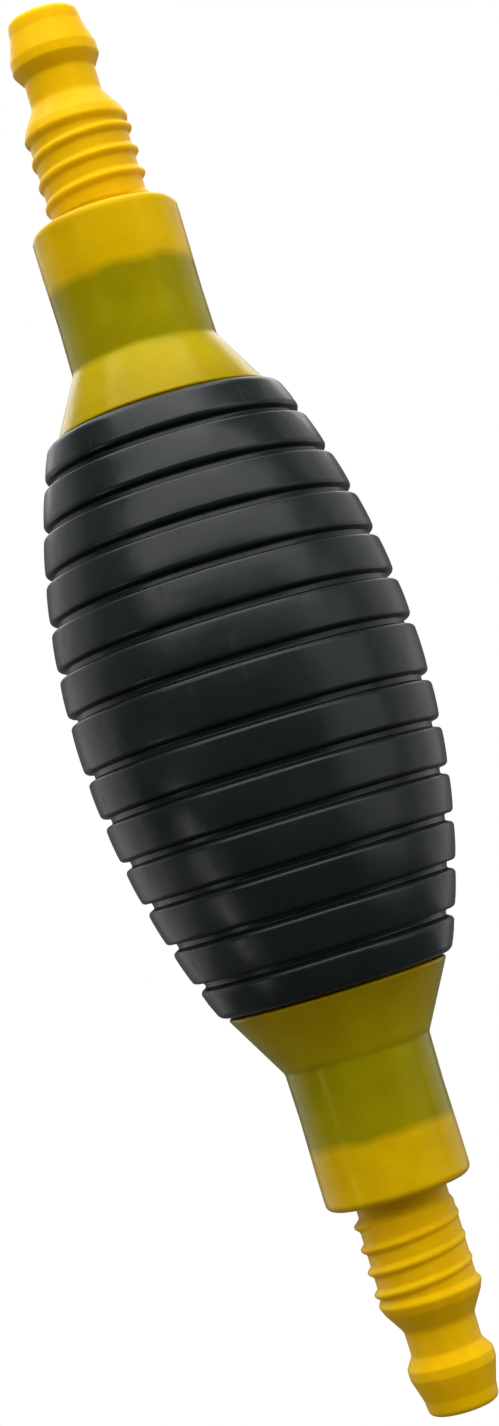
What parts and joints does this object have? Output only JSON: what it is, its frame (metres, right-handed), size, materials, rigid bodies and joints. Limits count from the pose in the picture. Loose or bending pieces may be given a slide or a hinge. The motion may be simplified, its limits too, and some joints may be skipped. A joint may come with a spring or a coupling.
{
  "type": "siphon bulb pump",
  "caption": "Hand siphon pump: a ribbed squeeze bulb between two necks, each with a spring-loaded check valve and a threaded, barbed hose fitting.",
  "frame": {"origin": "centre of the pump's bounding box, on the axis of the bulb", "axes": "+Z along the pump's axis with the flow, from the inlet fitting to the outlet fitting; +X is the direction in which the bulb's right wall faces, and the bulb is squeezed along X"},
  "size_m": [0.055, 0.055, 0.2226],
  "materials": {
    "moulded_yellow": "satin moulded polypropylene",
    "clear_yellow_pvc": "glossy translucent soft PVC",
    "bulb_black": "glossy black soft PVC",
    "seal_rubber": "smooth nitrile rubber",
    "valve_black": "moulded acetal",
    "poppet_white": "moulded acetal",
    "spring_steel": "drawn stainless wire"
  },
  "bodies": {
    "pump_ends": {"inlet_fitting": "moulded_yellow", "inlet_neck": "clear_yellow_pvc", "inlet_gasket": "seal_rubber", "inlet_valve_body": "valve_black", "inlet_valve_cage": "valve_black", "inlet_valve_spring": "spring_steel", "outlet_valve_body": "valve_black", "outlet_valve_cage": "valve_black", "outlet_valve_spring": "spring_steel", "outlet_gasket": "seal_rubber", "outlet_neck": "clear_yellow_pvc", "outlet_fitting": "moulded_yellow"},
    "bulb_left_wall": {"bulb_left": "bulb_black"},
    "bulb_right_wall": {"bulb_right": "bulb_black"},
    "inlet_poppet_set": {"inlet_poppet": "poppet_white", "inlet_poppet_seal": "seal_rubber"},
    "outlet_poppet_set": {"outlet_poppet": "poppet_white", "outlet_poppet_seal": "seal_rubber"}
  },
  "joints": [
    {"name": "squeeze", "type": "slide", "parent": "pump_ends", "child": "bulb_left_wall", "axis": [1, 0, 0], "range_m": [0, 0.015], "stiffness_N_per_m": 1500, "deforming": ["bulb_left"]},
    {"name": "squeeze_right", "type": "slide", "parent": "pump_ends", "child": "bulb_right_wall", "axis": [-1, 0, 0], "range_m": [0, 0.015], "stiffness_N_per_m": 1500, "deforming": ["bulb_right"]},
    {"name": "inlet_valve_lift", "type": "slide", "parent": "pump_ends", "child": "inlet_poppet_set", "axis": [0, 0, 1], "range_m": [0, 0.003], "stiffness_N_per_m": 70, "springref_m": -0.004, "deforming": ["inlet_valve_spring"]},
    {"name": "outlet_valve_lift", "type": "slide", "parent": "pump_ends", "child": "outlet_poppet_set", "axis": [0, 0, 1], "range_m": [0, 0.003], "stiffness_N_per_m": 70, "springref_m": -0.004, "deforming": ["outlet_valve_spring"]}
  ],
  "couplings": [
    {"joint": "squeeze_right", "follows": "squeeze", "ratio": 1}
  ]
}
